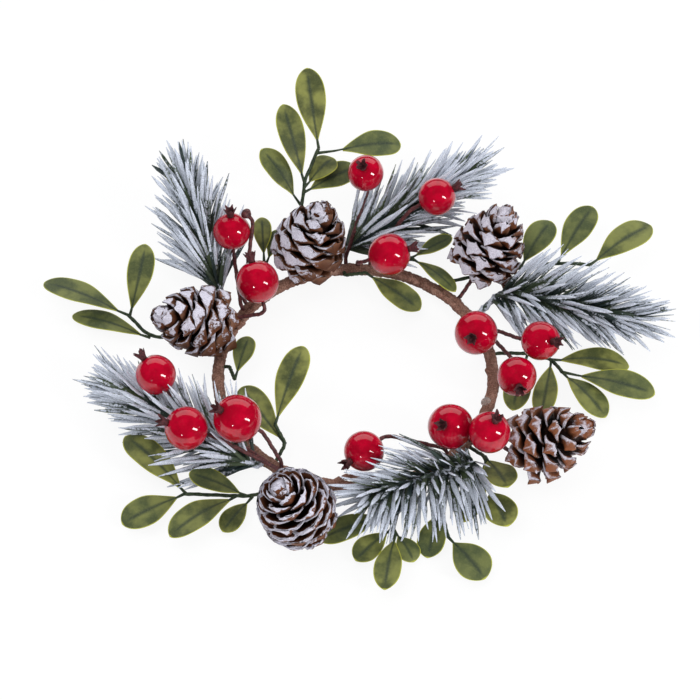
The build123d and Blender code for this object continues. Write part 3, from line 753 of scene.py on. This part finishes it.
# the core that the scales spring from: a turned spindle with a snowy knob at its tip
def coneCore(foot, direction, size):
    turn = roundTurn(coneLook["coreAround"])
    height = linspace(0.0, 1.0, coneLook["coreRings"])
    radius = 0.36 * sin(pi * (height * 0.72 + 0.12)) ** 0.8
    radius = radius * np.sqrt(np.clip((1 - height) / 0.10, 0.0005, 1))
    profile = np.stack([radius * coneLook["diameter"] / 2, height * coneLook["length"] * 0.96], -1) * size
    profile = np.concatenate([[[0.01 * mm, profile[0, 1]]], profile])
    tip = smoothStep(0.72, 0.9, profile[:, 1:] / profile[-1, 1])
    ripple = 1 + 0.16 * tip * sin(turn * 3 + profile[:, 1:] * 3000) + 0.1 * tip * sin(turn * 5)
    return turnedShape(foot, direction, profile, turn, ripple, front=tip, run=tip)


# brown wood with painted shade that turns it near black towards the scales' roots and darkens their inner
# faces, and snow on their end faces, along their edges and in patches
def coneMaterial(name, finish):
    constants = {"Roughness": 0.6, "Specular IOR Level": 0.18}
    material, tree, shader = startMaterial("cone" + name.capitalize(), constants)
    grain = noise(tree, 1300, 5, 0.65)
    run, front, rim = look(tree, "run"), look(tree, "front"), look(tree, "rim")
    # painted shade: the wood goes near black towards the scales' roots, where the gaps between scales lie in
    # shade
    brown, rootShade = np.array([0.185, 0.060, 0.024]) * finish["wood"], (0.012, 0.005, 0.004)
    wood = twoTones(tree, run, 0.5, 0.97, rootShade, brown)
    wood = layer(tree, wood, grain, 0.45, 0.75, 0.6, brown * 0.4)
    warm = edge(tree, noise(tree, 330, 2, 0.5), 0.5, 0.72, 0, 0.6)
    warm = sums(tree, "MULTIPLY", warm, edge(tree, run, 0.7, 1))
    wood = mix(tree, warm, wood, brown * 1.8)
    wood = mix(tree, sums(tree, "MULTIPLY", rim, 0.3), wood, (0.36, 0.19, 0.12))
    # painted shade: the scales' inner faces darken towards their roots
    shade = sums(tree, "MULTIPLY", look(tree, "inner"), edge(tree, run, 1.0, 0.6, 0, 0.75))
    wood = mix(tree, shade, wood, (0.012, 0.006, 0.005))
    onFace = sums(tree, "MULTIPLY", front, finish["face"])
    onRim = sums(tree, "MULTIPLY", rim, finish["rim"])
    ridge = sums(tree, "MULTIPLY", edge(tree, look(tree, "across"), 0.0, 0.3, finish["keelSnow"], 0), front)
    onEnd = sums(tree, "MAXIMUM", onFace, onRim, ridge)
    patches = swing(tree, noise(tree, 300, 4, 0.62), finish["patch"] * 2.4)
    patches = sums(tree, "MULTIPLY", patches, edge(tree, run, 0.6, 0.85))
    flecks = swing(tree, noise(tree, 1500, 3, 0.6), 0.5)
    # painted light and shade: faces turned up and to the left get more white, faces turned away get less
    towards = {0: node(tree, "NewGeometry", output="Normal"), 1: coneLook["lampFrom"]}
    facing = node(tree, "VectorMath", towards, output="Value", operation="DOT_PRODUCT")
    litFacing = edge(tree, facing, -0.3, 0.9, -finish["lampSide"] * 0.6, finish["lampSide"] * 0.4)
    amount = sums(tree, "ADD", onEnd, patches, flecks, litFacing)
    cover = edge(tree, amount, 0.50 - finish["soft"], 0.50 + finish["soft"], 0, finish["cover"])
    flock = noise(tree, 3600, 3, 0.7)
    layFlock(tree, shader, wood, cover, flock, [(0.46, 0.44, 0.53), (0.76, 0.745, 0.84)])
    thick = sums(tree, "MULTIPLY", cover, sums(tree, "ADD", flock, 0.6))
    bump(tree, shader, sums(tree, "ADD", sums(tree, "MULTIPLY", grain, 0.5), thick), 0.0004, 0.7)
    return material


def makeCones():
    materials = {name: coneMaterial(name, finish) for name, finish in coneFinish.items()}
    for number, (where, way, size, opening, root, finish) in coneTable.items():
        foot, direction = onRing(where), pointing(*way)
        local, looks = coneScales(size, opening, coneFinish[finish], seeds["cone"] + number)
        placed = placeLocal(local, foot, direction)
        placed[..., 2] = np.maximum(placed[..., 2], coneLook["lowest"])
        shapes = [tubeShape(placed, **looks), coneCore(foot, direction, size)]
        for share, radiusShare in coneLook["balls"]:
            radius = coneLook["diameter"] / 2 * size * radiusShare
            obstacles.append((foot + direction * coneLook["length"] * size * share, radius))
        replaced = [f"pine_cone_{number}"]
        putPiece(f"pineCone{number}", shapes, materials[finish], replaced, sharpAngle=50)
        corners = rootPoints(root) + [foot - direction * coneLead, foot + direction * coneLook["wireInCone"]]
        wire = wireShape(corners, coneLook["wireDiameter"], seeds["coneWire"] + number)
        putPiece(f"coneWire{number}", [wire], darkWire, [f"pine_cone_wire_{number}"])


makeCones()
print("cones made")


# Pine sprigs

# root, place where the needles start, place of the end, length share, degrees between a needle and its
# stem for the lowest and the highest needle, how far the needles are combed along x and y, and their
# number and width share
pineTable = {
    1: ((149, 8), (142, 1.31, 0.16), (131, 1.91, 0.50), 1.08, (42, 16), (0, 0), (220, 1.05)),
    2: ((98, 5), (90, 1.21, 0.12), (64, 1.83, 0.36), 1.1, (46, 22), (0, 0), (220, 1.05)),
    3: ((32, 10), (33, 1.30, 0.16), (9, 2.04, 0.31), 1.06, (54, 24), (0, 0), (240, 0.98)),
    4: ((-44, 10), (-46, 1.20, 0.14), (-85, 1.22, 0.27), 1.15, (85, 36), (0, -0.55), (190, 1.08)),
    5: ((-130, 15), (-134, 1.16, 0.14), (-171, 1.68, 0.24), 1.12, (54, 20), (0, 0), (210, 1.1)),
}
needleLook = {
    "length": 17 * mm, "endLength": 0.66, "leastLength": 0.3, "width": 1.2 * mm, "thickness": 0.36 * mm,
    "rings": 7, "around": 6, "under": 0.4, "droop": 0.10, "clearance": 0.5 * mm, "lowest": 0.25 * mm,
    "lowestTip": 0.6 * mm, "stemDiameter": 1.8 * mm, "lead": 3.5 * mm, "linePoints": 240,
    "stemRings": 90, "stemAround": 14,
}


def pineMaterial():
    material, tree, shader = startMaterial("snowyNeedles", {"Roughness": 0.75})
    green = mix(tree, look(tree, "tone"), (0.018, 0.037, 0.037), (0.075, 0.105, 0.045))
    amount = sums(tree, "ADD", look(tree, "snow"), swing(tree, noise(tree, 1300, 3, 0.6), 0.8))
    cover = edge(tree, amount, 0.36, 0.54)
    flock = noise(tree, 4200, 3, 0.7)
    layFlock(tree, shader, green, cover, flock, [(0.41, 0.45, 0.54), (0.80, 0.85, 0.96)])
    bump(tree, shader, sums(tree, "ADD", cover, flock), 0.0003, 0.6)
    return material


# the lengths of straight needles, cut short where they come too near to a berry or a cone
def clearLength(start, direction, length):
    for middle, radius in obstacles:
        ahead = np.sum((middle - start) * direction, 1)
        nearest = np.linalg.norm(start + direction * np.clip(ahead, 0, None)[:, None] - middle, axis=1)
        keep = radius + needleLook["clearance"]
        entry = np.maximum(ahead - np.sqrt(np.maximum(keep ** 2 - nearest ** 2, 0)), 0)
        length = np.where((nearest < keep) & (ahead > 0), np.minimum(length, entry), length)
    return length


# all needles at once, as (needle, ring, round): each leaves the stem on a golden angle spiral, leans
# less towards the sprig's end, bends a little, and has a flat section that narrows to a ragged point;
# a needle that would be much too short is left out
def needleShape(stem, lengthShare, spreads, combed, amount, seed):
    generator = np.random.default_rng(seed)
    rings, around = needleLook["rings"], needleLook["around"]
    count, widthShare = amount
    along, side, up = axesAlong(stem[-1] - stem[0])
    share = (np.arange(count) + 0.5) / count
    travel = linspace(0, 1, len(stem))
    foot = np.stack([np.interp(share, travel, stem[:, axis]) for axis in range(3)], -1)
    turn = radians(goldenAngle) * np.arange(count) + generator.normal(0, 0.12, count)
    lift = sin(turn) * np.where(sin(turn) > 0, 1, needleLook["under"])
    radial = unit(side * cos(turn)[:, None] + up * lift[:, None])
    first, last = spreads
    spread = radians(first + (last - first) * share + generator.normal(0, 5, count))
    direction = along * cos(spread)[:, None] + radial * sin(spread)[:, None]
    direction = unit(direction + np.array([*combed, 0.0]) * sin(spread)[:, None])
    start = foot + radial * needleLook["stemDiameter"] * 0.3
    length = needleLook["length"] * lengthShare * generator.uniform(0.78, 1.12, count)
    length = length * (1 + (needleLook["endLength"] - 1) * share ** 1.5)
    toTable = (start[:, 2] - needleLook["lowestTip"]) / np.maximum(-direction[:, 2], 1e-6)
    length = np.where(direction[:, 2] < 0, np.minimum(length, toTable), length)
    cleared = clearLength(start, direction, length)
    kept = cleared > length * needleLook["leastLength"]
    start, direction, radial, length = start[kept], direction[kept], radial[kept], cleared[kept]
    count = len(start)
    flat = unit(np.cross(direction, radial * 0.5 + [0, -0.25, 0.8] + generator.normal(0, 0.3, (count, 3))))
    over = np.cross(flat, direction)
    run = linspace(0, 1, rings)
    bend = generator.normal(0, 0.05, (count, 1)) * flat
    bend = bend + needleLook["droop"] * generator.uniform(-0.4, 1.0, (count, 1)) * along
    line = direction[:, None] * run[:, None] + bend[:, None] * run[:, None] ** 2
    line = start[:, None] + length[:, None, None] * line
    profile = np.interp(run, [0, 0.15, 0.4, 0.7, 0.9, 1.0], [0.6, 0.9, 1.0, 0.9, 0.64, 0.16])
    width = needleLook["width"] * widthShare / 2 * profile * generator.uniform(0.72, 1.12, (count, 1))
    width = width * (1 + 0.14 * generator.normal(0, 1, (count, rings)))
    angle = roundTurn(around)
    breadth = (width[..., None] * cos(angle))[..., None]
    depth = needleLook["thickness"] / 2 * (0.4 + 0.6 * profile)[:, None] * sin(angle)
    points = line[:, :, None] + flat[:, None, None] * breadth + over[:, None, None] * depth[..., None]
    points[..., 2] = np.maximum(points[..., 2], needleLook["lowest"])
    facing = over[:, None, None, 2] * np.sign(sin(angle) + 1e-9)
    snow = 0.02 + 0.58 * smoothStep(0.05, 0.68, run)[:, None] + 0.26 * facing
    # painted shade: less snow along each needle's two side edges draws dark outlines, standing in for the
    # shade between needles
    snow = snow - 0.32 * np.abs(cos(angle)) ** 3 + generator.normal(0, 0.17, (count, 1, 1))
    tone = generator.uniform(0, 1, (count, 1, 1)) ** 1.6
    return tubeShape(points, snow=snow, tone=tone)


# the flocked stem between the ring and the sprig's end: knobbly, with a long taper
def pineStemShape(corners, seed):
    count, turn = needleLook["stemRings"], roundTurn(needleLook["stemAround"])
    share = linspace(0, 1, count)[:, None]
    phase = phases(seed, 3)
    wave = sin(share * 71 + turn * 2 + phase[0])
    lumps = 0.16 * wave + 0.12 * sin(share * 133 - turn * 3 + phase[1])
    lumps = lumps + 0.10 * sin(share * 211 + turn * 5 + phase[2])
    radius = needleLook["stemDiameter"] / 2 * (1 - 0.55 * smoothStep(0.5, 1.0, share)) * (0.92 + lumps)
    snow = 0.42 + 0.5 * smoothStep(0.3, 1.0, wave)
    return roundStem(easedLine(corners, count), radius, turn, snow=snow, tone=0.3)


def makeSprigs():
    material = pineMaterial()
    for number, (root, low, high, lengthShare, spreads, combed, amount) in pineTable.items():
        corners = rootPoints(root) + [onRing(low), onRing(high)]
        line = easedLine(corners, needleLook["linePoints"])
        total = np.linalg.norm(np.diff(line, axis=0), axis=1).sum()
        covered = np.linalg.norm(corners[-1] - corners[-2]) + needleLook["lead"]
        stem = line[-int(len(line) * covered / total):]
        needles = needleShape(stem, lengthShare, spreads, combed, amount, seeds["needles"] + number)
        shapes = [pineStemShape(corners, seeds["pineStem"] + number), needles]
        putPiece(f"pineSprig{number}", shapes, material, [f"pine_sprig_{number}"])


makeSprigs()
print("sprigs made")


# Leafy sprigs

# root, places of the stem's points, and leaves as (where along those points, 1 at the first, heading,
# rise, length share, width share, petiole share and roll); the last two are 1 and 0 where left out
leafTable = {
    "leaf_sprig_back": (
        (106, 5), [(106, 1.51, 0.14), (105, 1.51, 0.33), (104, 1.57, 0.44), (99, 1.75, 0.58)], [
        (4.0, 102, 34, 1.03, 1.01), (2.95, 112, 34, 1.02, 0.93), (1.5, 137, 38, 0.79, 0.90, 1.6),
        (2.6, 48, 12, 0.50, 0.93), (3.85, 12, -3, 0.84, 1.02, 3, 20), (2.3, 32, 3, 0.75, 0.90, 1, 10)]),
    "leaf_sprig_left": ((156, 5), [(163, 1.16, 0.09), (169, 1.53, 0.12), (165, 1.72, 0.19)], [
        (3.0, 150, -4, 1.20, 0.95, 1.5, -5), (2.95, 76, 21, 0.95, 0.88), (2.0, 156, -5, 1.06, 0.82, 1.2)]),
    "leaf_sprig_front_left": ((-116, 0), [(-123, 1.32, 0.08), (-138, 1.63, 0.09)], [
        (2.0, -149, -1, 0.82, 1.05, 1, -10), (1.25, -141, 5, 1.01, 1.02), (1.02, -128, -9, 0.52, 0.75),
        (1.97, 133, 8, 1.08, 1.02), (1.08, 163, 12, 0.73, 0.80)]),
    "leaf_sprig_front": ((-80, 0), [(-80, 1.22, 0.08), (-79, 1.46, 0.08)], [
        (2.0, -100, 6, 0.84, 0.88), (1.75, -135, -2, 0.59, 0.88), (1.8, -60, -7, 0.43, 0.80),
        (1.2, -152, -1, 0.89, 0.88)]),
    "leaf_sprig_front_right": ((-61, 0), [(-62, 1.23, 0.08), (-66, 1.59, 0.08)], [
        (2.0, -53, -1, 0.69, 1.18), (1.3, -103, -7, 0.66, 0.90)]),
    "leaf_sprig_front_corner": ((-38, -10), [(-39, 1.19, 0.07), (-47, 1.38, 0.07)], [
        (2.0, -74, 9, 0.66, 1.07), (1.2, -109, -4, 0.86, 0.90), (1.0, -69, 20, 0.68, 1.05)]),
    "leaf_sprig_right": ((11, 0), [(8, 1.27, 0.08), (4, 1.43, 0.11), (-1, 1.50, 0.12)], [
        (3.0, -18, 3, 1.04, 1.00, 2.2, 12), (2.95, -50, -9, 0.78, 0.97), (2.0, -99, -5, 0.81, 0.80),
        (1.0, -105, -3, 0.85, 0.90), (2.05, 0, -3, 0.94, 0.95)]),
    "leaf_sprig_back_right": ((53, 5), [(40, 1.51, 0.08), (33, 1.79, 0.15), (28, 1.97, 0.19)], [
        (3.0, 37, 6, 0.96, 1.07), (2.0, 57, 21, 0.84, 1.00), (1.2, 57, 21, 0.69, 0.97)]),
    "leaf_inner_front_left": ((-126, 150), [(-126, 0.85, 0.14), (-136, 0.80, 0.19)], [
        (2.0, 71, 22, 1.04, 0.95), (1.0, 127, 2, 0.96, 0.99, 1.2)]),
    "leaf_inner_left": ((176, 160), [(-174, 0.88, 0.12)], [(1.0, 72, 17, 0.53, 0.72)]),
    "leaf_inner_back": ((95, 160), [(85, 0.90, 0.13)], [(1.0, -40, -5, 0.84, 0.95)]),
    "leaf_inner_back_left": ((127, 60), [(126, 1.15, 0.22)], [
        (1.0, 93, 19, 0.54, 0.62), (0.8, 68, 15, 0.46, 0.55)]),
    "leaf_inner_back_right": ((71, 45), [(68, 1.10, 0.16)], [
        (1.0, -42, -1, 0.74, 0.60), (0.7, 20, 17, 0.57, 0.57)]),
}
leafLook = {
    "length": 19 * mm, "width": 8 * mm, "thickness": 0.5 * mm, "rings": 34, "around": 28, "arch": 0.075,
    "cup": 0.10, "groove": 0.14 * mm, "grooveHalf": 0.32 * mm, "rimWidth": 0.45 * mm, "lowest": 0.15 * mm,
    "petiole": 2.4 * mm, "petioleDiameter": 0.8 * mm, "petioleRings": 12, "petioleAround": 10,
    "stemDiameter": 1.0 * mm, "stemRings": 60,
}


def leafMaterial():
    material, tree, shader = startMaterial("oliveLeaf", {"Roughness": 0.55, "Specular IOR Level": 0.35})
    cloud = noise(tree, 170, 3, 0.55)
    fine = noise(tree, 2400, 3, 0.6)
    green = twoTones(tree, cloud, 0.36, 0.66, (0.062, 0.074, 0.022), (0.230, 0.240, 0.060))
    green = layer(tree, green, look(tree, "tone"), 0, 1, 0.55, (0.060, 0.088, 0.040))
    green = layer(tree, green, look(tree, "rib"), 0.15, 1.0, 0.85, (0.030, 0.045, 0.028))
    green = layer(tree, green, fine, 0.45, 0.75, 0.18, (0.24, 0.26, 0.09))
    paint(tree, shader, layer(tree, green, look(tree, "rim"), 0.25, 0.95, 0.9, (0.42, 0.43, 0.05)))
    bump(tree, shader, sums(tree, "ADD", fine, sums(tree, "MULTIPLY", cloud, 0.8)), 0.00012, 0.5)
    return material


def stemMaterial():
    tones = (0.014, 0.030, 0.016), (0.050, 0.075, 0.030)
    return grainedMaterial("leafStem", {"Roughness": 0.6}, (1500, 3, 0.6), tones, (0.0002, 0.5))


# a closed blade as (1, ring, round): its half width follows a wave that peaks past the middle, its
# middle line arches up and strays a little sideways, its edges lift and ripple, and a narrow groove
# runs along its middle on the upper side
def bladeShape(seed, base, heading, rise, lengthShare, widthShare, petioleShare, roll):
    generator = np.random.default_rng(seed)
    length, half = leafLook["length"] * lengthShare, leafLook["width"] * widthShare / 2
    along, side, up = axesAlong(pointing(heading, rise), roll + generator.normal(0, 5))
    run = ((1 - cos(linspace(0.0, pi, leafLook["rings"]))) / 2)[:, None]
    turn = roundTurn(leafLook["around"])
    past = np.clip((run - 0.6) / 0.4, 0, 1)
    outline = (0.1 + 0.9 * sin(pi / 2 * np.clip(run / 0.6, 0, 1)) ** 1.1) * (1 - past ** 2.6) ** 0.62
    outline = np.maximum(outline, 0.01)
    across = np.sign(cos(turn)) * np.abs(cos(turn)) ** 0.85
    beside = across * half * outline
    phase = generator.uniform(0, 2 * pi, 4)
    sway = generator.normal(0, 0.035) * length * run ** 2
    arch = leafLook["arch"] * 4 * run * (1 - run) * generator.uniform(0.6, 1.2) - 0.01 * run
    cup = leafLook["cup"] * generator.uniform(0.3, 1.5) * half * outline * across ** 2
    ripple = 0.030 * half * sin(run * 13 + phase[0] + np.sign(across)) * np.abs(across) ** 3
    upper = sin(turn) > 0.05
    groove = exp(-(beside / leafLook["grooveHalf"]) ** 2) * upper
    groove = groove * smoothStep(0.0, 0.08, run) * smoothStep(1.0, 0.8, run)
    body = leafLook["thickness"] / 2 * sin(turn) * (0.35 + 0.65 * np.sqrt(outline))
    height = arch * length + cup + ripple + body - leafLook["groove"] * groove
    forth = leafLook["petiole"] * petioleShare + run * length
    points = base + along * forth[..., None] + side * (beside + sway)[..., None] + up * height[..., None]
    points[..., 2] = np.maximum(points[..., 2], leafLook["lowest"])
    inner = np.minimum(half * outline - np.abs(beside), (1 - run) * length * 0.8 + 0.02 * mm)
    rim = 1 - smoothStep(0.05 * mm, leafLook["rimWidth"], inner)
    return tubeShape(points[None], rim=rim, rib=groove, tone=generator.uniform(0, 1))


# the petiole: a thin tapered tube from the sprig's stem into the blade's foot, which curves upwards
def petioleShape(base, heading, rise, lengthShare, petioleShare):
    length = leafLook["petiole"] * petioleShare + leafLook["length"] * lengthShare * 0.2
    share = linspace(0, 1, leafLook["petioleRings"])[:, None]
    line = base + pointing(heading, rise) * length * share
    line[:, 2:] += 0.06 * length * smoothStep(0.4, 1, share)
    radius = leafLook["petioleDiameter"] / 2 * (1.1 - 0.75 * share)
    return roundStem(line, radius, roundTurn(leafLook["petioleAround"]))


# a leaf: its blade and its petiole
def leafShapes(seed, base, heading, rise, lengthShare, widthShare, petioleShare=1, roll=0):
    blade = bladeShape(seed, base, heading, rise, lengthShare, widthShare, petioleShare, roll)
    return blade, petioleShape(base, heading, rise, lengthShare, petioleShare)


def makeLeaves():
    leaf, stem = leafMaterial(), stemMaterial()
    for order, (name, (root, places, leaves)) in enumerate(leafTable.items()):
        corners = rootPoints(root) + [onRing(spot) for spot in places]
        blades = []
        seed, rings = seeds["leafStem"] + order, leafLook["stemRings"]
        stems = [wireShape(corners, leafLook["stemDiameter"], seed, rings)]
        for count, (where, *form) in enumerate(leaves):
            step = min(int(where), len(places) - 1)
            base = corners[step + 1] + (corners[step + 2] - corners[step + 1]) * (where - step)
            blade, petiole = leafShapes(seeds["leaf"] + order * 10 + count, base, *form)
            blades.append(blade)
            stems.append(petiole)
        title = "".join(word.capitalize() for word in name.split("_"))
        putPiece("blades" + title, blades, leaf, [name], sharpAngle=80)
        putPiece("stems" + title, stems, stem, [name])


makeLeaves()
print("leaves made")


# The hoop inside the binding keeps its own shape

def hoopMaterial():
    material, tree, shader = startMaterial("hoopSteel", {"Roughness": 0.35, "Metallic": 1.0})
    drawn = noise(tree, 900, 3)
    paint(tree, shader, mix(tree, drawn, (0.42, 0.42, 0.43), (0.60, 0.60, 0.61)))
    return material


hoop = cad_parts["hoop_wire"]
hoop.data.materials.clear()
hoop.data.materials.append(hoopMaterial())
